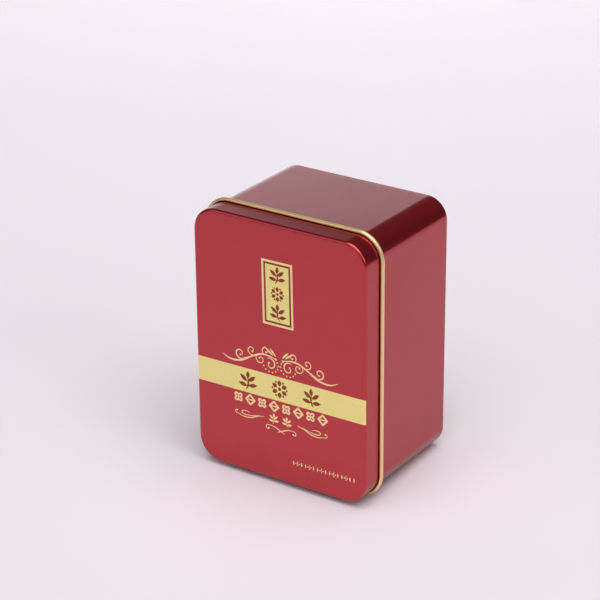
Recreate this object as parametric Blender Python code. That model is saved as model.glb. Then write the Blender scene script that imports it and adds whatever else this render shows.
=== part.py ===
"""Rectangular slip-lid tin, standing on one of its short side walls.

Three tinplate pieces: a drawn lid with a curled hem, a body wrapped from one
strip and locked by a side seam, and a recessed base panel held in the fold
along the body's base edge.

Metres, +Z up. X is the tin's width, Z its height as it stands, and Y its depth:
the lid's panel faces -Y and the base faces +Y. The origin is at the middle of
the tin's depth and width, level with the lowest point of the lid's curl.
"""

import math

import bmesh
import bpy
from mathutils import Vector

MM = 0.001

# Driving dimensions
LID_WIDTH = 82.0 * MM            # over the skirt, without the curl
LID_HEIGHT = 112.6 * MM
TIN_DEPTH = 61.6 * MM            # lid panel to base rim
SHEET = 0.26 * MM                # tinplate thickness
LID_CORNER = 10.3 * MM           # plan radius of the skirt's outer face
LID_EDGE_RADIUS = 1.15 * MM      # panel to skirt, outer face
SKIRT_LENGTH = 10.5 * MM         # panel face to the curl's centre
CURL_RADIUS = 0.9 * MM           # outer face of the curl
CURL_END = math.radians(105)     # how far the raw edge turns back towards the panel

BODY_INSET = 0.7 * MM            # skirt's outer face to the body's outer face
BODY_CORNER = 9.2 * MM
MOUTH_DEPTH = 0.7 * MM           # lid face to the front of the body's mouth
MOUTH_CURL_RADIUS = 0.9 * MM     # outer face of the mouth's safety curl
MOUTH_CURL_TURN = math.radians(255)

SEAM_WIDTH = 3.2 * MM            # locked side seam, inside the body
SEAM_THICKNESS = 0.45 * MM
SEAM_GROOVE = 0.14 * MM          # depth and half width of the line that it shows outside
SEAM_END_GAP = 3.5 * MM          # seam's thick part to the mouth and to the base rim

CHANNEL_GAP = 0.32 * MM          # clearance on each side of the base panel's flange
FOLD_RADIUS = 0.46 * MM          # middle of the sheet in the fold along the base
FOLD_LEG = 2.2 * MM              # base rim to the folded strip's inner edge
PANEL_RECESS = 2.8 * MM          # base rim to the base panel's border
PANEL_BEND_RADIUS = 0.55 * MM
PANEL_STEP = 0.8 * MM            # the panel's middle stands this much prouder
PANEL_STEP_INSET = 6.0 * MM      # body face to the step
PANEL_STEP_WIDTH = 0.9 * MM
PANEL_FLAT_INSET = 8.0 * MM      # body face to the last ring of the flat middle

CORNER_STEPS = 8                 # segments in each plan corner
CURL_STEPS = 12
EDGE_STEPS = 4

CURL_PROUD = 2 * CURL_RADIUS - SHEET         # curl beyond the skirt's outer face
LID_CENTRE_Z = LID_HEIGHT / 2 + CURL_PROUD
LID_FACE_Y = -TIN_DEPTH / 2

RED_LACQUER = (0.43, 0.022, 0.034, 1.0)
GOLD_LACQUER = (0.66, 0.43, 0.19, 1.0)


def clear_scene():
    for old in list(bpy.data.objects):
        bpy.data.objects.remove(old, do_unlink=True)


def lacquered_tinplate(name, colour, roughness, metallic):
    material = bpy.data.materials.new(name)
    material.use_nodes = True
    shader = material.node_tree.nodes["Principled BSDF"]
    shader.inputs["Base Color"].default_value = colour
    shader.inputs["Roughness"].default_value = roughness
    shader.inputs["Metallic"].default_value = metallic
    return material


def plan_outline(half_width, half_height, corner, bottom_xs=()):
    """Points of a rounded rectangle in plan, as (x, z, outward x, outward z) stations.

    They run anticlockwise from the bottom right corner's lower end, and
    bottom_xs adds stations along the bottom side, from left to right.
    """
    stations = []
    for quarter, (side_x, side_z) in enumerate(((1, -1), (1, 1), (-1, 1), (-1, -1))):
        centre_x = side_x * (half_width - corner)
        centre_z = side_z * (half_height - corner)
        for step in range(CORNER_STEPS + 1):
            angle = math.radians(90) * (quarter - 1 + step / CORNER_STEPS)
            out_x, out_z = math.cos(angle), math.sin(angle)
            stations.append((centre_x + corner * out_x, centre_z + corner * out_z, out_x, out_z))
    stations += [(x, -half_height, 0.0, -1.0) for x in bottom_xs]
    return stations


def arc(centre, radius, start, end, steps):
    """Points of an arc in the sheet's section, angles from outward (x) to base-ward (y)."""
    centre = Vector(centre)
    angles = [start + (end - start) * step / steps for step in range(steps + 1)]
    return [centre + radius * Vector((math.cos(angle), math.sin(angle))) for angle in angles]


def sheet_section(middle):
    """Both faces of a sheet whose middle line is given, out along one and back along the other."""
    one_face, other_face = [], []
    before = [middle[0]] + middle[:-1]
    after = middle[1:] + [middle[-1]]
    for previous, here, following in zip(before, middle, after):
        along = (following - previous).normalized()
        across = Vector((along.y, -along.x)) * (SHEET / 2)
        one_face.append(here + across)
        other_face.append(here - across)
    return one_face + other_face[::-1]


def sweep(section, outline, closed, face_y, dent=None):
    """Carries a sheet's section round a plan outline, and returns the mesh under construction.

    Section points are (outward offset, depth behind face_y). An open section is
    capped at both ends, and dent moves points of the section at some stations.
    """
    bm = bmesh.new()
    rings = []
    for row, point in enumerate(section):
        ring = []
        for column, (x, z, out_x, out_z) in enumerate(outline):
            offset = point.x + (dent(row, column) if dent else 0.0)
            ring.append(bm.verts.new((x + out_x * offset, face_y + point.y, z + out_z * offset)))
        rings.append(ring)
    pairs = list(zip(rings, rings[1:]))
    if closed:
        pairs.append((rings[-1], rings[0]))
    for ring, next_ring in pairs:
        for column in range(len(outline)):
            beside = (column + 1) % len(outline)
            bm.faces.new((ring[column], ring[beside], next_ring[beside], next_ring[column]))
    if not closed:
        bm.faces.new(rings[0])
        bm.faces.new(rings[-1])
    bmesh.ops.recalc_face_normals(bm, faces=bm.faces)
    return bm


def add_node(name, bm, material, parent):
    mesh = bpy.data.meshes.new(name)
    bm.to_mesh(mesh)
    bm.free()
    mesh.shade_smooth()
    mesh.set_sharp_from_angle(angle=math.radians(40))
    mesh.materials.append(material)
    node = bpy.data.objects.new(name, mesh)
    node.location = (0.0, 0.0, LID_CENTRE_Z)
    node.parent = parent
    bpy.context.scene.collection.objects.link(node)
    return node


def add_lid(material, parent):
    """Flat panel, small edge radius, straight skirt, and a hem curled outward."""
    half_sheet = SHEET / 2
    edge_middle = LID_EDGE_RADIUS - half_sheet
    panel_ring = Vector((-3 * LID_EDGE_RADIUS, half_sheet))
    edge = arc((-LID_EDGE_RADIUS, LID_EDGE_RADIUS), edge_middle, math.radians(-90), 0.0, EDGE_STEPS)
    curl_centre = (CURL_RADIUS - SHEET, SKIRT_LENGTH)
    curl = arc(curl_centre, CURL_RADIUS - half_sheet, math.radians(180), -CURL_END, CURL_STEPS)
    section = sheet_section([panel_ring] + edge + curl)
    outline = plan_outline(LID_WIDTH / 2, LID_HEIGHT / 2, LID_CORNER)
    return add_node("lid", sweep(section, outline, False, LID_FACE_Y), material, parent)


def body_middle_line():
    """Middle of the body's sheet: mouth curl, wall, and the fold along the base edge."""
    half_sheet = SHEET / 2
    curl_middle = MOUTH_CURL_RADIUS - half_sheet
    mouth = arc((-MOUTH_CURL_RADIUS, MOUTH_DEPTH + MOUTH_CURL_RADIUS), curl_middle,
                -MOUTH_CURL_TURN, 0.0, CURL_STEPS)
    channel = 2 * SHEET + 2 * CHANNEL_GAP        # middle to middle, across the flange
    fold_y = TIN_DEPTH - half_sheet - FOLD_RADIUS
    outer_turn = arc((-half_sheet - FOLD_RADIUS, fold_y), FOLD_RADIUS, 0.0, math.radians(90), EDGE_STEPS)
    inner_turn = arc((-half_sheet - channel + FOLD_RADIUS, fold_y), FOLD_RADIUS,
                     math.radians(90), math.radians(180), EDGE_STEPS)
    leg_end = Vector((-half_sheet - channel, TIN_DEPTH - FOLD_LEG))
    seam_start = MOUTH_DEPTH + SEAM_END_GAP
    seam_end = TIN_DEPTH - SEAM_END_GAP
    seam_ends = (seam_start, seam_start + SEAM_THICKNESS, seam_end - SEAM_THICKNESS, seam_end)
    wall = [Vector((-half_sheet, depth)) for depth in seam_ends]
    return mouth, wall, outer_turn + inner_turn + [leg_end]


def add_body(material, parent):
    """One wrapped strip: its ends hook into each other in a flat seam on the bottom wall."""
    mouth, wall, fold = body_middle_line()
    section = sheet_section(mouth + wall + fold)
    foot = SEAM_WIDTH / 2
    top = foot - SEAM_THICKNESS / 2
    groove_xs = (top - 2 * SEAM_GROOVE, top - SEAM_GROOVE, top)
    outline = plan_outline(LID_WIDTH / 2 - BODY_INSET, LID_HEIGHT / 2 - BODY_INSET, BODY_CORNER,
                           (-foot, -top, *groove_xs, foot))
    first_column = len(outline) - 6
    seam_columns = range(first_column + 1, first_column + 5)
    groove_column = first_column + 3
    outer_rows = range(len(mouth), len(mouth) + len(wall))
    inner_rows = [len(section) - 1 - row for row in outer_rows][1:-1]

    def seam(row, column):
        if column in seam_columns and row in inner_rows:
            return -SEAM_THICKNESS
        if column == groove_column and row in outer_rows:
            return -SEAM_GROOVE
        return 0.0

    return add_node("body_wrap", sweep(section, outline, True, LID_FACE_Y, seam), material, parent)


def add_base_panel(material, parent):
    """Recessed panel with a raised middle; its flange stands in the body's folded channel."""
    border = TIN_DEPTH - PANEL_RECESS
    middle = border + PANEL_STEP
    flange = -SHEET - CHANNEL_GAP - SHEET / 2
    step_foot = Vector((-PANEL_STEP_INSET, border))
    step_top = Vector((-PANEL_STEP_INSET - PANEL_STEP_WIDTH, middle))
    bend = arc((flange - PANEL_BEND_RADIUS, border + PANEL_BEND_RADIUS), PANEL_BEND_RADIUS,
               math.radians(-90), 0.0, EDGE_STEPS)
    flange_end = Vector((flange, TIN_DEPTH - 2 * SHEET - CHANNEL_GAP))
    flat_ring = Vector((-PANEL_FLAT_INSET, middle))
    section = sheet_section([flat_ring, step_top, step_foot] + bend + [flange_end])
    outline = plan_outline(LID_WIDTH / 2 - BODY_INSET, LID_HEIGHT / 2 - BODY_INSET, BODY_CORNER)
    return add_node("base_panel", sweep(section, outline, False, LID_FACE_Y), material, parent)


def main():
    clear_scene()
    red = lacquered_tinplate("red_lacquer", RED_LACQUER, 0.36, 0.55)
    gold = lacquered_tinplate("gold_lacquer", GOLD_LACQUER, 0.32, 0.9)

    tin = bpy.data.objects.new("tin", None)
    lid_slide = bpy.data.objects.new("lid_slide", None)
    for empty in (tin, lid_slide):
        bpy.context.scene.collection.objects.link(empty)
    lid_slide.parent = tin

    add_lid(red, lid_slide)
    add_body(red, tin)
    add_base_panel(gold, tin)


main()
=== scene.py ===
"""Looks of the rectangular slip-lid tin: fine tinplate surfaces, the printed
ornament, lacquer and ink materials, a pale studio floor, lights and a camera."""

import math

import bmesh
import bpy
from mathutils import Matrix, Vector
from mathutils.geometry import delaunay_2d_cdt


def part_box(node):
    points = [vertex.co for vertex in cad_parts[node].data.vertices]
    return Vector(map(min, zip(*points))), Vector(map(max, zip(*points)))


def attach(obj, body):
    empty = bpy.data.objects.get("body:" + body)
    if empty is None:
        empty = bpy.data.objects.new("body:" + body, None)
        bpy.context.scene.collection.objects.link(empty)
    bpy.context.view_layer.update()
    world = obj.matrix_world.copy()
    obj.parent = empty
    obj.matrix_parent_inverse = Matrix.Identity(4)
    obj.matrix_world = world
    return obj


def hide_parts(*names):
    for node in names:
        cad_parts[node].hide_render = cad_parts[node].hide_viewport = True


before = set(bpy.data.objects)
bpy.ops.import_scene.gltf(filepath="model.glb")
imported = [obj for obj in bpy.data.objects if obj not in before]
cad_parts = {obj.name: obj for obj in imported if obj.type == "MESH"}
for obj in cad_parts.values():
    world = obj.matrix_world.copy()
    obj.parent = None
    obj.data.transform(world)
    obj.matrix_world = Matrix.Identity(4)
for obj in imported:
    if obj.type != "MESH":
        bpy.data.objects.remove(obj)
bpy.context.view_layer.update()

MM = 0.001

# The tin's forms, as in the CAD; lengths and places come from the CAD boxes
SHEET = 0.26 * MM
LID_CORNER = 10.3 * MM
LID_EDGE_RADIUS = 1.15 * MM
SKIRT_LENGTH = 10.5 * MM
CURL_RADIUS = 0.9 * MM
CURL_END = math.radians(105)
BODY_CORNER = 9.2 * MM
MOUTH_CURL_RADIUS = 0.9 * MM
MOUTH_CURL_TURN = math.radians(255)
SEAM_WIDTH = 3.2 * MM
SEAM_THICKNESS = 0.45 * MM
SEAM_GROOVE = 0.14 * MM
SEAM_END_GAP = 3.5 * MM
CHANNEL_GAP = 0.32 * MM
FOLD_RADIUS = 0.46 * MM
FOLD_LEG = 2.2 * MM
PANEL_RECESS = 2.8 * MM
PANEL_BEND_RADIUS = 0.55 * MM
PANEL_STEP = 0.8 * MM
PANEL_STEP_INSET = 6.0 * MM
PANEL_STEP_WIDTH = 0.9 * MM
PANEL_FLAT_INSET = 8.0 * MM

CURL_PROUD = 2 * CURL_RADIUS - SHEET
LID_LOW, LID_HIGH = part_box("lid")
BODY_LOW, BODY_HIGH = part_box("body_wrap")
LID_HALF_WIDTH = (LID_HIGH.x - LID_LOW.x) / 2 - CURL_PROUD
LID_HALF_HEIGHT = (LID_HIGH.z - LID_LOW.z) / 2 - CURL_PROUD
BODY_HALF_WIDTH = (BODY_HIGH.x - BODY_LOW.x) / 2
BODY_HALF_HEIGHT = (BODY_HIGH.z - BODY_LOW.z) / 2
CENTRE_Z = (LID_LOW.z + LID_HIGH.z) / 2
FACE_Y = LID_LOW.y
TIN_DEPTH = BODY_HIGH.y - FACE_Y
MOUTH_DEPTH = BODY_LOW.y - FACE_Y

CORNER_STEPS = 28                    # segments in each plan corner
CURL_STEPS = 30
EDGE_STEPS = 10
OUTER_FACE, INNER_FACE, CUT_EDGE = 0, 1, 2           # a sheet's material slots

PRINT_TILT = math.radians(0.75)      # the sheet was printed a little askew
INK_RISE = 0.02 * MM                 # front of an ink layer, over what it is printed on
INK_DEPTH = 0.012 * MM               # its back, inside what it is printed on
BAND_WRAP = math.radians(56)         # how far the band follows the panel's rounded edge

# Places and sizes in the print are in millimetres from the panel's middle: u to the right, v up
BAND_MIDDLE = -14.55
BAND_HEIGHT = 10.75
LABEL_U, LABEL_V = -0.1, 26.9
LABEL_HALF_WIDTH = 7.35
LABEL_HALF_HEIGHT = 13.95
LABEL_BORDER = 0.95                  # pale line round the label
LABEL_LINE = 0.85                    # dark line inside the border

# The studio, in the tin's frame; the lights are as bright as the tin reflects them
ROOM_LIGHT = 0.06
BACKDROP_LIGHT = 1.06
BACKDROP_TOP = math.radians(24.5)    # upper edge of the paper backdrop, over the horizon
BACKDROP_EDGE = math.radians(1)      # half width of that edge's blur
BACKDROP_SIDE = (0.55, 0.75)         # cosine to its middle where it starts and where it is full
FLOOR_RADIUS = 0.8
FLOOR_GAP = 0.02 * MM
CAMERA_FROM_LID = Vector((461.0, -659.7, 382.0)) * MM
CAMERA_YAW = math.radians(34.34)
CAMERA_PITCH = math.radians(23.95)
CAMERA_ROLL = math.radians(-0.53)
CAMERA_LENS = 134.2


# ---------------------------------------------------------------- tinplate

def plan_outline(half_width, half_height, corner, bottom_xs=()):
    """Stations (x, z, outward x, outward z) of a rounded rectangle, anticlockwise."""
    stations = []
    for quarter, (side_x, side_z) in enumerate(((1, -1), (1, 1), (-1, 1), (-1, -1))):
        centre_x = side_x * (half_width - corner)
        centre_z = side_z * (half_height - corner)
        for step in range(CORNER_STEPS + 1):
            angle = math.radians(90) * (quarter - 1 + step / CORNER_STEPS)
            out_x, out_z = math.cos(angle), math.sin(angle)
            stations.append((centre_x + corner * out_x, centre_z + corner * out_z, out_x, out_z))
    stations += [(x, -half_height, 0.0, -1.0) for x in bottom_xs]
    return stations


def arc(centre, radius, start, end, steps):
    """Points of an arc in the sheet's section, angles from outward (x) to base-ward (y)."""
    centre = Vector(centre)
    angles = [start + (end - start) * step / steps for step in range(steps + 1)]
    return [centre + radius * Vector((math.cos(angle), math.sin(angle))) for angle in angles]


def sheet_section(middle):
    """Both faces of a sheet whose middle line is given, out along one and back along the other."""
    one_face, other_face = [], []
    before = [middle[0]] + middle[:-1]
    after = middle[1:] + [middle[-1]]
    for previous, here, following in zip(before, middle, after):
        along = (following - previous).normalized()
        across = Vector((along.y, -along.x)) * (SHEET / 2)
        one_face.append(here + across)
        other_face.append(here - across)
    return one_face + other_face[::-1]


def tinplate(name, section, outline, closed, materials, dent=None):
    """A sheet's section swept round a plan outline; outer face, inner face and cut edge differ.

    Section points are (outward offset, depth behind the lid's face). An open section is
    capped at both ends, and dent moves points of the section at some stations.
    """
    bm = bmesh.new()
    rings = []
    for row, point in enumerate(section):
        ring = []
        for column, (x, z, out_x, out_z) in enumerate(outline):
            offset = point.x + (dent(row, column) if dent else 0.0)
            place = (x + out_x * offset, FACE_Y + point.y, CENTRE_Z + z + out_z * offset)
            ring.append(bm.verts.new(place))
        rings.append(ring)
    pairs = list(zip(rings, rings[1:]))
    along_face = len(section) // 2 - 1
    finishes = [OUTER_FACE] * along_face + [CUT_EDGE] + [INNER_FACE] * along_face
    if closed:
        pairs.append((rings[-1], rings[0]))
        finishes.append(CUT_EDGE)
    for (ring, next_ring), finish in zip(pairs, finishes):
        for column in range(len(outline)):
            beside = (column + 1) % len(outline)
            face = bm.faces.new((ring[column], ring[beside], next_ring[beside], next_ring[column]))
            face.material_index = finish
    if not closed:
        bm.faces.new(rings[0]).material_index = OUTER_FACE
        bm.faces.new(rings[-1]).material_index = INNER_FACE
    bmesh.ops.recalc_face_normals(bm, faces=bm.faces)
    return finished(name, bm, materials, sharp=50)


def finished(name, bm, materials, sharp=30):
    """The mesh as an object, shaded smooth where it bends by less than sharp degrees."""
    mesh = bpy.data.meshes.new(name)
    bm.to_mesh(mesh)
    bm.free()
    mesh.shade_smooth()
    mesh.set_sharp_from_angle(angle=math.radians(sharp))
    for material in materials:
        mesh.materials.append(material)
    piece = bpy.data.objects.new(name, mesh)
    bpy.context.scene.collection.objects.link(piece)
    return piece


def make_lid(materials):
    """Flat panel, small edge radius, straight skirt, and a hem curled outward."""
    half_sheet = SHEET / 2
    panel_ring = Vector((-3 * LID_EDGE_RADIUS, half_sheet))
    edge = arc((-LID_EDGE_RADIUS, LID_EDGE_RADIUS), LID_EDGE_RADIUS - half_sheet,
               math.radians(-90), 0.0, EDGE_STEPS)
    curl = arc((CURL_RADIUS - SHEET, SKIRT_LENGTH), CURL_RADIUS - half_sheet,
               math.radians(180), -CURL_END, CURL_STEPS)
    outline = plan_outline(LID_HALF_WIDTH, LID_HALF_HEIGHT, LID_CORNER)
    lid = tinplate("tin_lid", sheet_section([panel_ring] + edge + curl), outline, False, materials)
    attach(lid, "lid")
    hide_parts("lid")


def body_middle_line():
    """Middle of the body's sheet: mouth curl, wall, and the fold along the base edge."""
    half_sheet = SHEET / 2
    mouth_centre = (-MOUTH_CURL_RADIUS, MOUTH_DEPTH + MOUTH_CURL_RADIUS)
    mouth = arc(mouth_centre, MOUTH_CURL_RADIUS - half_sheet, -MOUTH_CURL_TURN, 0.0, CURL_STEPS)
    channel = 2 * SHEET + 2 * CHANNEL_GAP        # middle to middle, across the flange
    fold_y = TIN_DEPTH - half_sheet - FOLD_RADIUS
    outer_turn = arc((-half_sheet - FOLD_RADIUS, fold_y), FOLD_RADIUS,
                     0.0, math.radians(90), EDGE_STEPS)
    inner_turn = arc((-half_sheet - channel + FOLD_RADIUS, fold_y), FOLD_RADIUS,
                     math.radians(90), math.radians(180), EDGE_STEPS)
    leg_end = Vector((-half_sheet - channel, TIN_DEPTH - FOLD_LEG))
    seam_start = MOUTH_DEPTH + SEAM_END_GAP
    seam_end = TIN_DEPTH - SEAM_END_GAP
    seam_ends = (seam_start, seam_start + SEAM_THICKNESS, seam_end - SEAM_THICKNESS, seam_end)
    wall = [Vector((-half_sheet, depth)) for depth in seam_ends]
    return mouth, wall, outer_turn + inner_turn + [leg_end]


def make_body(materials):
    """One wrapped strip: its ends hook into each other in a flat seam on the bottom wall."""
    mouth, wall, fold = body_middle_line()
    section = sheet_section(mouth + wall + fold)
    foot = SEAM_WIDTH / 2
    top = foot - SEAM_THICKNESS / 2
    groove_xs = (top - 2 * SEAM_GROOVE, top - SEAM_GROOVE, top)
    outline = plan_outline(BODY_HALF_WIDTH, BODY_HALF_HEIGHT, BODY_CORNER,
                           (-foot, -top, *groove_xs, foot))
    first_column = len(outline) - 6
    seam_columns = range(first_column + 1, first_column + 5)
    groove_column = first_column + 3
    outer_rows = range(len(mouth), len(mouth) + len(wall))
    inner_rows = [len(section) - 1 - row for row in outer_rows][1:-1]

    def seam(row, column):
        if column in seam_columns and row in inner_rows:
            return -SEAM_THICKNESS
        if column == groove_column and row in outer_rows:
            return -SEAM_GROOVE
        return 0.0

    body = tinplate("tin_body", section, outline, True, materials, seam)
    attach(body, "body")
    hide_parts("body_wrap")


def make_base(materials):
    """Recessed panel with a raised middle; its flange stands in the body's folded channel."""
    border = TIN_DEPTH - PANEL_RECESS
    middle = border + PANEL_STEP
    flange = -SHEET - CHANNEL_GAP - SHEET / 2
    bend = arc((flange - PANEL_BEND_RADIUS, border + PANEL_BEND_RADIUS), PANEL_BEND_RADIUS,
               math.radians(-90), 0.0, EDGE_STEPS)
    section = sheet_section([
        Vector((-PANEL_FLAT_INSET, middle)),
        Vector((-PANEL_STEP_INSET - PANEL_STEP_WIDTH, middle)),
        Vector((-PANEL_STEP_INSET, border)),
        *bend,
        Vector((flange, TIN_DEPTH - 2 * SHEET - CHANNEL_GAP)),
    ])
    outline = plan_outline(BODY_HALF_WIDTH, BODY_HALF_HEIGHT, BODY_CORNER)
    base = tinplate("tin_base", section, outline, False, materials)
    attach(base, "body")
    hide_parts("base_panel")


# ------------------------- flat shapes of print, as lists of anticlockwise outlines

def polar(centre, reach, angle):
    """The point at the given reach and angle from centre."""
    return Vector((centre[0] + reach * math.cos(angle), centre[1] + reach * math.sin(angle)))


def flow(*points, steps=6):
    """A smooth line through the given points."""
    places = [Vector(point) for point in points]
    places = [2 * places[0] - places[1]] + places + [2 * places[-1] - places[-2]]
    line = []
    for before, start, end, after in zip(places, places[1:], places[2:], places[3:]):
        for step in range(steps):
            t = step / steps
            line.append(start + (end - before) * t / 2
                        + (before - 2.5 * start + 2 * end - after / 2) * t**2
                        + (1.5 * start - before / 2 - 1.5 * end + after / 2) * t**3)
    return line + [places[-2]]


def dot(centre, radius, sides=14):
    """A filled circle."""
    return [[polar(centre, radius, 2 * math.pi * side / sides) for side in range(sides)]]


def stroke(points, thick, thin=0.16, lean=0.5):
    """A pen line that swells from thin to thick and back, thickest at lean, a share of its length."""
    last = len(points) - 1
    left, right = [], []
    for index, here in enumerate(points):
        t = index / last
        swell = t / lean if t < lean else (1 - t) / (1 - lean)
        width = thin + (thick - thin) * math.sin(swell * math.pi / 2)
        along = (points[min(index + 1, last)] - points[max(index - 1, 0)]).normalized()
        side = Vector((-along.y, along.x)) * width / 2
        left.append(here + side)
        right.append(here - side)
    quads = [[right[i], right[i + 1], left[i + 1], left[i]] for i in range(last)]
    return quads + dot(points[0], thin / 2, 8) + dot(points[-1], thin / 2, 8)


def leaf(base, tip, width, steps=8):
    """A leaf or petal, pointed at both ends and widest halfway."""
    base, tip = Vector(base), Vector(tip)
    side = Vector((tip.y - base.y, base.x - tip.x)).normalized() * width / 2
    shares = [step / steps for step in range(steps + 1)]
    near = [base.lerp(tip, t) + side * math.sin(math.pi * t) for t in shares]
    far = [base.lerp(tip, t) - side * math.sin(math.pi * t) for t in shares[1:-1]]
    return [near + far[::-1]]


def blossom(centre, radius, petals, fullness=0.5):
    """Separate petals round a middle dot, the first one upright; each is fullness radii wide."""
    dot_share, petal_foot = 0.19, 0.32
    shapes = dot(centre, dot_share * radius)
    for petal in range(petals):
        angle = math.radians(90 + 360 * petal / petals)
        foot, tip = polar(centre, petal_foot * radius, angle), polar(centre, radius, angle)
        shapes += leaf(foot, tip, radius * fullness)
    return shapes


def seeded_blossom(centre, radius, petals):
    """A blossom with a seed dot outside each gap between its petals."""
    seed_reach, seed_radius = 0.86 * radius, 0.12 * radius
    shapes = blossom(centre, radius, petals)
    for petal in range(petals):
        angle = math.radians(90 + 360 * (petal + 0.5) / petals)
        shapes += dot(polar(centre, seed_reach, angle), seed_radius, 10)
    return shapes


def sprig(centre, height, lean=1.0):
    """A tea shoot: curved stem, two pairs of side leaves, and a bud at the top.

    The places in it are shares of its height, and a lean of -1 mirrors it.
    """
    def at(u, v):
        return Vector((centre[0] + lean * u * height, centre[1] + v * height))

    leaf_width = 0.22 * height
    stem = flow(at(-0.12, -0.5), at(0.0, -0.3), at(0.03, 0.0), at(0.0, 0.25))
    shapes = stroke(stem, 0.1 * height)
    shapes += leaf(at(0.0, 0.1), at(0.03, 0.52), leaf_width)
    for out, up, reach, rise in ((0.03, -0.04, 0.46, 0.3), (0.02, -0.28, 0.56, -0.16)):
        shapes += leaf(at(out, up), at(reach, rise), leaf_width)
        shapes += leaf(at(-0.02, up - 0.02), at(-reach, rise - 0.03), leaf_width)
    return shapes


def volute(centre, radius, start, turns, thick=0.44):
    """A stroke that winds inwards from the angle start, in degrees, and ends in a dot.

    Turns below 0 are clockwise.
    """
    steps, inward, thin, lean, end_dot = 24, 0.72, 0.22, 0.25, 0.42
    points = []
    for step in range(steps + 1):
        angle = math.radians(start) + 2 * math.pi * turns * step / steps
        points.append(polar(centre, radius * (1 - inward * step / steps), angle))
    return stroke(points, thick, thin, lean) + dot(points[-1], end_dot, 10)


def quatrefoil(centre, reach, line):
    """Four-lobed outline round a dot."""
    sides, lobe = 32, 0.24
    outline = []
    for side in range(sides + 1):
        angle = 2 * math.pi * side / sides
        outline.append(polar(centre, reach * (1 - lobe - lobe * math.cos(4 * angle)), angle))
    return stroke(outline, line, line) + dot(centre, 0.75 * line, 10)


def lozenge(centre, reach, line):
    """Diamond outline with a level bar across it."""
    tips = [polar(centre, reach, math.radians(90 * quarter)) for quarter in range(4)]
    bar = 0.7 * line
    shapes = []
    for tip, beside in zip(tips, tips[1:] + tips[:1]):
        shapes += stroke([tip, beside], line, line)
    return shapes + stroke([tips[0], tips[2]], bar, bar)


def mirrored(shapes):
    """The shapes flipped left to right; each outline is reversed to stay anticlockwise."""
    return [[Vector((-point.x, point.y)) for point in reversed(shape)] for shape in shapes]


def box_shape(low_u, low_v, high_u, high_v):
    """A rectangle, from its lower left to its upper right corner."""
    return [[Vector((low_u, low_v)), Vector((high_u, low_v)),
             Vector((high_u, high_v)), Vector((low_u, high_v))]]


def label_frame(half_width, half_height, line):
    """A rectangular line round the label's middle, as four bars; outer half sizes are given."""
    left, right = LABEL_U - half_width, LABEL_U + half_width
    bottom, top = LABEL_V - half_height, LABEL_V + half_height
    bars = box_shape(left, top - line, right, top)
    bars += box_shape(left, bottom, right, bottom + line)
    bars += box_shape(left, bottom + line, left + line, top - line)
    bars += box_shape(right - line, bottom + line, right, top - line)
    return bars


# --------------------------------------------------------------- the print

def on_lid(u, v, rise):
    """Where a point of the print stands, at the given rise in front of the lid's panel."""
    tilted = Matrix.Rotation(PRINT_TILT, 2) @ Vector((u, v))
    return Vector((tilted.x * MM, FACE_Y - rise, CENTRE_Z + tilted.y * MM))


def ink(name, shapes, material, layer=0):
    """One thin layer of ink over the union of flat shapes, closed on all sides."""
    corners, loops = [], []
    for shape in shapes:
        loops.append(list(range(len(corners), len(corners) + len(shape))))
        corners += shape
    points, _, faces, _, _, sources = delaunay_2d_cdt(corners, [], loops, 1, 1e-5)
    kept = [face for face, source in zip(faces, sources) if source]
    rise = INK_RISE * (layer + 1)
    depth = INK_DEPTH - INK_RISE * layer
    bm = bmesh.new()
    front = [bm.verts.new(on_lid(p.x, p.y, rise)) for p in points]
    back = [bm.verts.new(on_lid(p.x, p.y, -depth)) for p in points]
    behind = dict(zip(front, back))
    for face in kept:
        bm.faces.new([front[i] for i in face])
        bm.faces.new([back[i] for i in reversed(face)])
    for edge in [e for e in bm.edges if e.is_boundary and e.verts[0] in behind]:
        one, other = edge.verts
        bm.faces.new((one, other, behind[other], behind[one]))
    bmesh.ops.delete(bm, geom=[v for v in bm.verts if not v.link_faces], context="VERTS")
    bmesh.ops.recalc_face_normals(bm, faces=bm.faces)
    piece = finished(name, bm, [material])
    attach(piece, "lid")


def half_scroll():
    """Right half of the scrolls over the band: stem and tail with volutes, two leaves and beads."""
    stem = flow((1.9, -1.7), (5.5, -0.9), (9.0, -1.1), (12.5, -2.6), (15.0, -3.9), (17.5, -4.9))
    tail = flow((14.0, -3.6), (17.5, -5.6), (21.0, -6.6), (24.4, -6.6), (27.9, -5.2))
    shapes = stroke(stem, 0.72, 0.36) + stroke(tail, 0.8, 0.2)
    shapes += volute((19.2, -3.1), 2.5, 227, 1.1, 0.6)
    shapes += volute((9.2, -3.3), 2.3, 38, -1.0)
    shapes += volute((13.5, -0.4), 2.2, 236, 1.0)
    shapes += volute((6.4, 0.9), 2.0, 305, 0.9)
    shapes += volute((4.4, -4.5), 2.8, 62, 0.95, 0.55)
    shapes += leaf((1.4, -0.7), (4.6, 2.7), 0.9) + leaf((2.6, -0.6), (7.4, 2.9), 0.8)
    shapes += dot((1.7, -1.8), 0.5)
    for bead in range(8):
        angle = math.radians(150 + 27 * bead)
        shapes += dot((4.2 + 3.7 * math.cos(angle), -4.7 + 3.3 * math.sin(angle)), 0.36, 10)
    return shapes


def side_flourish():
    """Right one of the two flourishes beside the small ornaments: two lines that curl back."""
    lower = flow((8.2, -28.8), (11.5, -29.6), (14.8, -31.0), (18.4, -31.3), (21.0, -30.6))
    upper = flow((10.5, -28.9), (14.0, -29.9), (17.0, -30.3), (19.0, -29.9), (19.0, -28.9),
                 (17.2, -28.5), (15.2, -28.9))
    shapes = stroke(lower, 0.46, 0.2) + stroke(upper, 0.42, 0.18)
    return shapes + volute((21.6, -29.5), 1.25, 240, 0.6, 0.36)


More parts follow.
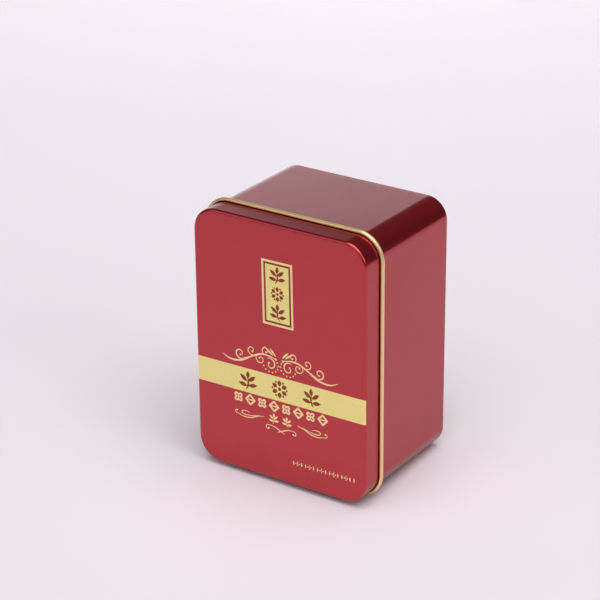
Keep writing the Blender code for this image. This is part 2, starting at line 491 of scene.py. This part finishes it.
def middle_flourish():
    """Right half of the bracket under the small ornaments."""
    arm = flow((-1.6, -34.2), (0.6, -33.2), (3.2, -32.1), (5.8, -31.8))
    return stroke(arm, 0.46, 0.2) + volute((6.3, -33.1), 1.35, 110, -0.7, 0.38)


def ornament_row():
    """Eight small ornaments under the band, quatrefoils and lozenges in turn."""
    first_u, pitch, row_v = -20.7, 5.87, -22.95
    quatrefoil_reach, line = 2.05, 0.8
    lozenge_reach = 1.05 * quatrefoil_reach
    shapes = []
    for place in range(8):
        centre = (first_u + pitch * place, row_v)
        if place % 2:
            shapes += lozenge(centre, lozenge_reach, line)
        else:
            shapes += quatrefoil(centre, quatrefoil_reach, line)
    return shapes


def bead_line():
    """Fine line of small blossoms and upright grains near the lid's lower right corner."""
    first_u, pitch, line_v = 5.9, 1.94, -46.0
    blossom_radius, grain_reach, grain_width = 1.15, 1.1, 0.58
    shapes = []
    for place in range(16):
        u = first_u + pitch * place
        if place % 3 == 1:
            shapes += blossom((u, line_v), blossom_radius, 4, 0.42)
        else:
            shapes += leaf((u, line_v - grain_reach), (u, line_v + grain_reach), grain_width)
    return shapes


def make_band(material):
    """Gold band across the lid, which follows the panel's rounded edge on both sides."""
    flat = LID_HALF_WIDTH - LID_EDGE_RADIUS
    turns = [BAND_WRAP * step / EDGE_STEPS for step in range(EDGE_STEPS + 1)]
    right_end = [(flat + LID_EDGE_RADIUS * math.sin(a), LID_EDGE_RADIUS * (1 - math.cos(a)),
                  math.sin(a), -math.cos(a)) for a in turns]
    left_end = [(-x, y, -out_x, out_y) for x, y, out_x, out_y in reversed(right_end)]
    slope = math.tan(PRINT_TILT)
    middle, half_height = BAND_MIDDLE * MM, BAND_HEIGHT / 2 * MM
    bm = bmesh.new()
    hoops = []
    for x, y, out_x, out_y in left_end + right_end:
        centre_z = CENTRE_Z + middle + x * slope
        hoop = []
        for rise, height in ((INK_RISE, half_height), (INK_RISE, -half_height),
                             (-INK_DEPTH, -half_height), (-INK_DEPTH, half_height)):
            place = (x + out_x * rise, FACE_Y + y + out_y * rise, centre_z + height)
            hoop.append(bm.verts.new(place))
        hoops.append(hoop)
    for hoop, beside in zip(hoops, hoops[1:]):
        for side in range(4):
            following = (side + 1) % 4
            bm.faces.new((hoop[side], hoop[following], beside[following], beside[side]))
    bm.faces.new(hoops[0])
    bm.faces.new(hoops[-1])
    bmesh.ops.recalc_face_normals(bm, faces=bm.faces)
    band = finished("print_band", bm, [material])
    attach(band, "lid")


def make_label(gold, pale, dark):
    """Upright label: pale border, dark line, gold field, and three dark motifs over the field."""
    half_width, half_height = LABEL_HALF_WIDTH, LABEL_HALF_HEIGHT
    border = label_frame(half_width, half_height, LABEL_BORDER)
    ink("print_label_border", border, pale)
    half_width, half_height = half_width - LABEL_BORDER, half_height - LABEL_BORDER
    ink("print_label_line", label_frame(half_width, half_height, LABEL_LINE), dark)
    half_width, half_height = half_width - LABEL_LINE, half_height - LABEL_LINE
    field = box_shape(LABEL_U - half_width, LABEL_V - half_height,
                      LABEL_U + half_width, LABEL_V + half_height)
    ink("print_label_field", field, gold)
    pitch, height = 8.0, 7.2
    motifs = sprig((LABEL_U, LABEL_V + pitch), height) + seeded_blossom((LABEL_U, LABEL_V), 3.2, 6)
    motifs += sprig((LABEL_U, LABEL_V - pitch), height, -1.0)
    ink("print_label_motifs", motifs, dark, layer=1)


def make_print(gold, pale, dark):
    make_band(gold)
    make_label(gold, pale, dark)
    band_motifs = sprig((-15.8, BAND_MIDDLE), 8.2) + seeded_blossom((-0.2, BAND_MIDDLE), 4.0, 6)
    band_motifs += sprig((15.2, BAND_MIDDLE), 8.0, -1.0)
    ink("print_band_motifs", band_motifs, dark, layer=1)
    scroll = half_scroll()
    ink("print_scrolls", scroll + mirrored(scroll), pale)
    ink("print_ornament_row", ornament_row(), pale)
    flourish = side_flourish() + middle_flourish()
    ink("print_flourishes", flourish + mirrored(flourish), pale)
    small = sprig((-3.4, -28.5), 4.5) + sprig((3.0, -28.5), 4.5, -1.0)
    ink("print_small_ornaments", small, pale)
    ink("print_bead_line", bead_line(), pale)


# --------------------------------------------------------------- materials

class Finish:
    """A Principled material under construction, with the nodes that vary it over the surface."""

    def __init__(self, name, roughness, metallic, coat=0.0, coat_roughness=0.1):
        self.material = bpy.data.materials.new(name)
        self.material.use_nodes = True
        self.nodes = self.material.node_tree.nodes
        self.links = self.material.node_tree.links
        self.shader = self.nodes["Principled BSDF"]
        self.set("Roughness", roughness)
        self.set("Metallic", metallic)
        self.set("Coat Weight", coat)
        self.set("Coat Roughness", coat_roughness)
        self.set("Coat IOR", 1.53)
        self.place = self.nodes.new("ShaderNodeTexCoord").outputs["Object"]

    def set(self, socket, value):
        self.shader.inputs[socket].default_value = value

    def noise(self, size, detail=2.0, stretch=(1.0, 1.0, 1.0)):
        """Noise whose blotches are about size metres across."""
        mapping = self.nodes.new("ShaderNodeMapping")
        mapping.inputs["Scale"].default_value = stretch
        self.links.new(self.place, mapping.inputs["Vector"])
        texture = self.nodes.new("ShaderNodeTexNoise")
        texture.inputs["Scale"].default_value = 1.0 / size
        texture.inputs["Detail"].default_value = detail
        self.links.new(mapping.outputs["Vector"], texture.inputs["Vector"])
        return texture.outputs["Fac"]

    def ranged(self, factor, low, high):
        """The middle range of a noise factor, 0.3 to 0.7, spread over low to high."""
        node = self.nodes.new("ShaderNodeMapRange")
        node.inputs["From Min"].default_value = 0.3
        node.inputs["From Max"].default_value = 0.7
        node.inputs["To Min"].default_value = low
        node.inputs["To Max"].default_value = high
        self.links.new(factor, node.inputs["Value"])
        return node.outputs["Result"]

    def colour(self, factor, one, other):
        mix = self.nodes.new("ShaderNodeMix")
        mix.data_type = "RGBA"
        mix.inputs["A"].default_value = one
        mix.inputs["B"].default_value = other
        self.links.new(self.ranged(factor, 0.0, 1.0), mix.inputs["Factor"])
        self.links.new(mix.outputs["Result"], self.shader.inputs["Base Color"])

    def roughness(self, factor, low, high):
        self.links.new(self.ranged(factor, low, high), self.shader.inputs["Roughness"])

    def bump(self, layers, coat=False):
        """Stacks bumps, each (height factor, height in metres), and bends the coat with them if asked."""
        normal = None
        for factor, height in layers:
            node = self.nodes.new("ShaderNodeBump")
            node.inputs["Distance"].default_value = height
            self.links.new(factor, node.inputs["Height"])
            if normal:
                self.links.new(normal, node.inputs["Normal"])
            normal = node.outputs["Normal"]
        self.links.new(normal, self.shader.inputs["Normal"])
        if coat:
            self.links.new(normal, self.shader.inputs["Coat Normal"])


def red_lacquer():
    """Satin metallic red under clear lacquer; the tint dims what the metal reflects edge-on."""
    finish = Finish("red_lacquer", 0.3, 0.9, coat=1.0, coat_roughness=0.16)
    finish.set("Specular Tint", (0.25, 0.13, 0.14, 1))
    finish.colour(finish.noise(9 * MM, 3.0), (0.46, 0.010, 0.021, 1), (0.48, 0.011, 0.023, 1))
    finish.roughness(finish.noise(2.5 * MM, 2.0), 0.28, 0.31)
    finish.bump([(finish.noise(22 * MM, 1.0), 0.02 * MM),
                 (finish.noise(0.35 * MM, 1.0), 0.0001 * MM)], coat=True)
    return finish.material


def gold_lacquer():
    """Pale gold of the sheet's inside, with faint rolling lines along the tin's height."""
    finish = Finish("gold_lacquer", 0.4, 0.95, coat=0.15, coat_roughness=0.3)
    finish.colour(finish.noise(6 * MM, 3.0), (0.87, 0.64, 0.33, 1), (0.89, 0.66, 0.345, 1))
    finish.roughness(finish.noise(0.6 * MM, 4.0), 0.37, 0.43)
    finish.bump([(finish.noise(20 * MM, 1.0), 0.01 * MM),
                 (finish.noise(0.3 * MM, 2.0, (1.0, 1.0, 0.06)), 0.0008 * MM)], coat=True)
    return finish.material


def cut_steel():
    """Bare steel of the sheet's cut edges."""
    finish = Finish("cut_steel", 0.4, 1.0)
    finish.colour(finish.noise(0.5 * MM, 3.0), (0.42, 0.40, 0.38, 1), (0.60, 0.58, 0.55, 1))
    finish.roughness(finish.noise(0.2 * MM, 3.0), 0.3, 0.5)
    return finish.material


def printing_ink(name, one, other, metallic, gloss=0.5):
    """Opaque satin ink that varies from one colour to the other in small blotches."""
    finish = Finish(name, 0.45, metallic)
    finish.set("Specular IOR Level", gloss)
    finish.colour(finish.noise(1.2 * MM, 5.0), one, other)
    finish.roughness(finish.noise(0.3 * MM, 3.0), 0.4, 0.5)
    finish.bump([(finish.noise(0.12 * MM, 2.0), 0.001 * MM)])
    return finish.material


def gold_ink():
    return printing_ink("gold_ink", (0.90, 0.78, 0.28, 1), (0.94, 0.82, 0.31, 1), 0.6)


def pale_gold_ink():
    return printing_ink("pale_gold_ink", (0.98, 0.71, 0.35, 1), (1.0, 0.75, 0.39, 1), 0.4)


def dark_ink():
    return printing_ink("dark_ink", (0.25, 0.046, 0.016, 1), (0.29, 0.054, 0.019, 1), 0.0, 0.15)


def floor_paper():
    """Pale matt studio paper."""
    finish = Finish("floor_paper", 0.6, 0.0)
    finish.colour(finish.noise(0.25, 2.0), (0.80, 0.735, 0.79, 1), (0.82, 0.755, 0.81, 1))
    finish.bump([(finish.noise(1.5 * MM, 3.0), 0.01 * MM)])
    return finish.material


# ------------------------------------------------------------------- stage

def make_floor(material):
    """Pale floor that the curl's lowest line and the base's lower edge both touch."""
    front = Vector((0.0, FACE_Y + SKIRT_LENGTH, LID_LOW.z))
    back = Vector((0.0, BODY_HIGH.y - FOLD_RADIUS, BODY_LOW.z))
    slope = math.atan2(back.z - front.z, back.y - front.y)
    sides = 96
    turns = [2 * math.pi * side / sides for side in range(sides)]
    rim = [(FLOOR_RADIUS * math.cos(turn), FLOOR_RADIUS * math.sin(turn), 0.0) for turn in turns]
    mesh = bpy.data.meshes.new("floor")
    mesh.from_pydata(rim, [], [range(sides)])
    mesh.materials.append(material)
    floor = bpy.data.objects.new("floor", mesh)
    bpy.context.scene.collection.objects.link(floor)
    floor.rotation_euler.x = slope
    floor.location = front - Vector((0.0, 0.0, FLOOR_GAP))


def soft_box(name, place, size, power, target, spread=180):
    """Rectangular light that faces target; a narrow spread, in degrees, makes it a gridded box."""
    light = bpy.data.lights.new(name, "AREA")
    light.shape = "RECTANGLE"
    light.size, light.size_y = size
    light.energy = power
    light.spread = math.radians(spread)
    holder = bpy.data.objects.new(name, light)
    holder.visible_camera = False
    bpy.context.scene.collection.objects.link(holder)
    holder.location = place
    aim = Vector(target) - Vector(place)
    holder.rotation_euler = aim.to_track_quat("-Z", "Y").to_euler()


def make_world():
    """Dim room with a pale paper backdrop behind the tin, which lights and reflects in the tin.

    The camera itself sees pale paper all round.
    """
    world = bpy.data.worlds.new("studio")
    bpy.context.scene.world = world
    world.use_nodes = True
    nodes, links = world.node_tree.nodes, world.node_tree.links
    direction = nodes.new("ShaderNodeTexCoord").outputs["Generated"]

    def share(towards, start, end):
        """Rises from 0 to 1 as the direction's part along towards goes from start to end."""
        along = nodes.new("ShaderNodeVectorMath")
        along.operation = "DOT_PRODUCT"
        along.inputs[1].default_value = towards
        links.new(direction, along.inputs[0])
        spread = nodes.new("ShaderNodeMapRange")
        spread.interpolation_type = "SMOOTHSTEP"
        spread.inputs["From Min"].default_value = start
        spread.inputs["From Max"].default_value = end
        links.new(along.outputs["Value"], spread.inputs["Value"])
        return spread.outputs["Result"]

    behind = share((-math.sin(CAMERA_YAW), math.cos(CAMERA_YAW), 0.0), *BACKDROP_SIDE)
    below_top = share((0.0, 0.0, -1.0), -math.sin(BACKDROP_TOP + BACKDROP_EDGE),
                      -math.sin(BACKDROP_TOP - BACKDROP_EDGE))
    paper = nodes.new("ShaderNodeMath")
    paper.operation = "MULTIPLY"
    links.new(behind, paper.inputs[0])
    links.new(below_top, paper.inputs[1])
    brightness = nodes.new("ShaderNodeMapRange")
    brightness.inputs["To Min"].default_value = ROOM_LIGHT
    brightness.inputs["To Max"].default_value = BACKDROP_LIGHT
    links.new(paper.outputs["Value"], brightness.inputs["Value"])
    room = nodes["Background"]
    room.inputs["Color"].default_value = (1.0, 1.02, 1.07, 1.0)
    links.new(brightness.outputs["Result"], room.inputs["Strength"])
    seen_paper = nodes.new("ShaderNodeBackground")
    seen_paper.inputs["Color"].default_value = (0.86, 0.80, 0.85, 1.0)
    seen = nodes.new("ShaderNodeMixShader")
    links.new(nodes.new("ShaderNodeLightPath").outputs["Is Camera Ray"], seen.inputs["Fac"])
    links.new(room.outputs["Background"], seen.inputs[1])
    links.new(seen_paper.outputs["Background"], seen.inputs[2])
    links.new(seen.outputs["Shader"], nodes["World Output"].inputs["Surface"])


def make_lights():
    """Soft light from above, a highlight from the right, fill from the front, and a lit backdrop."""
    tin_middle = (0.0, 0.0, CENTRE_Z)
    soft_box("ceiling_box", (0.7, -0.45, 2.9), (3.0, 3.0), power=92.0, target=tin_middle)
    soft_box("right_box", (1.6, -0.4, 0.8), (0.9, 0.8), power=6.0, target=tin_middle)
    soft_box("front_box", (-0.5, -2.4, 1.5), (4.0, 2.4), power=27.0, target=tin_middle)
    behind_tin = (-0.5, 0.8, 0.0)
    soft_box("backdrop_box", (-0.5, 0.8, 1.4), (0.8, 0.8), power=1.4, target=behind_tin, spread=55)


def make_camera():
    """The viewpoint is to the right of the lid and above it; angles are in the tin's frame."""
    level_ahead = Vector((-math.sin(CAMERA_YAW), math.cos(CAMERA_YAW), 0.0))
    ahead = level_ahead * math.cos(CAMERA_PITCH) - Vector((0.0, 0.0, math.sin(CAMERA_PITCH)))
    level = Vector((math.cos(CAMERA_YAW), math.sin(CAMERA_YAW), 0.0))
    upward = level.cross(ahead)
    right = level * math.cos(CAMERA_ROLL) + upward * math.sin(CAMERA_ROLL)
    up = upward * math.cos(CAMERA_ROLL) - level * math.sin(CAMERA_ROLL)
    data = bpy.data.cameras.new("camera")
    data.sensor_width = 36.0
    data.lens = CAMERA_LENS
    data.clip_start, data.clip_end = 0.05, 20.0
    camera = bpy.data.objects.new("camera", data)
    bpy.context.scene.collection.objects.link(camera)
    turn = Matrix((right, up, -ahead)).transposed()
    viewpoint = Vector((0.0, FACE_Y, CENTRE_Z)) + CAMERA_FROM_LID
    camera.matrix_world = Matrix.Translation(viewpoint) @ turn.to_4x4()
    bpy.context.scene.camera = camera


def main():
    red, gold, steel = red_lacquer(), gold_lacquer(), cut_steel()
    make_lid([red, gold, steel])
    make_body([red, gold, steel])
    make_base([gold, gold, steel])
    make_print(gold_ink(), pale_gold_ink(), dark_ink())
    make_floor(floor_paper())
    make_world()
    make_lights()
    make_camera()
    bpy.context.scene.view_settings.view_transform = "Standard"


main()
